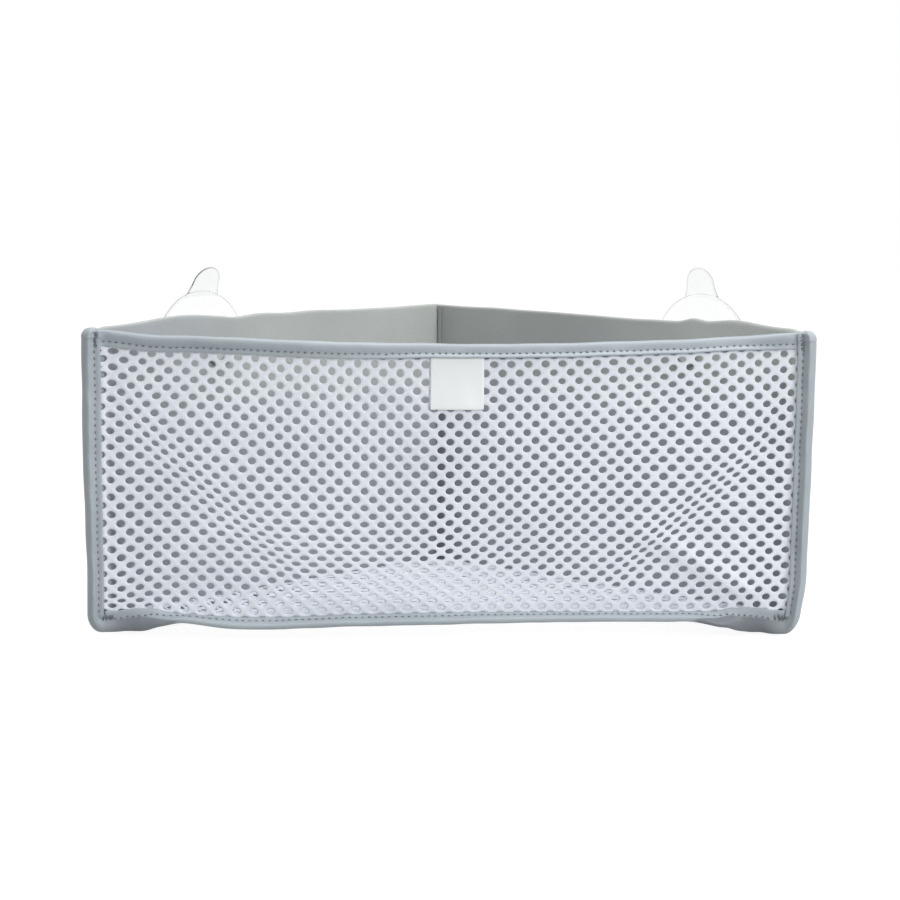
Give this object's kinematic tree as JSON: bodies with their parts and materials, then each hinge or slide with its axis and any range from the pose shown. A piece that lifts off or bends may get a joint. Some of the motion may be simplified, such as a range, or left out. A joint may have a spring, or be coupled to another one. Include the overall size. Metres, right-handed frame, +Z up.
{
  "type": "corner bath toy organizer",
  "caption": "Triangular corner bin for bath toys: foam cloth back walls, knitted net front and bottom, bound seams and clear suction cups that swivel in the walls.",
  "frame": {"origin": "on the floor plane under the middle of the whole object's box", "axes": "+Z up, front net faces -Y, corner seam towards +Y, +X to the right seen from the front"},
  "size_m": [0.3836, 0.2, 0.1893],
  "materials": {
    "foam_cloth": "matte",
    "knitted_net": "matte",
    "binding_tape": "satin",
    "label_ribbon": "satin",
    "clear_vinyl": "gloss"
  },
  "bodies": {
    "bin": {"left_wall": "foam_cloth", "right_wall": "foam_cloth", "front_net": "knitted_net", "bottom_net": "knitted_net", "left_binding": "binding_tape", "right_binding": "binding_tape", "top_hem_binding": "binding_tape", "lower_front_binding": "binding_tape", "label": "label_ribbon"},
    "left_cup": {"left_suction_cup": "clear_vinyl"},
    "right_cup": {"right_suction_cup": "clear_vinyl"}
  },
  "joints": [
    {"name": "left_cup_swivel", "type": "hinge", "parent": "bin", "child": "left_cup", "pos_m": [-0.12304, -0.03091, 0.1428], "axis": [-0.7071, 0.7071, 0], "continuous": true},
    {"name": "right_cup_swivel", "type": "hinge", "parent": "bin", "child": "right_cup", "pos_m": [0.12905, -0.03692, 0.1428], "axis": [0.7071, 0.7071, 0], "continuous": true}
  ]
}
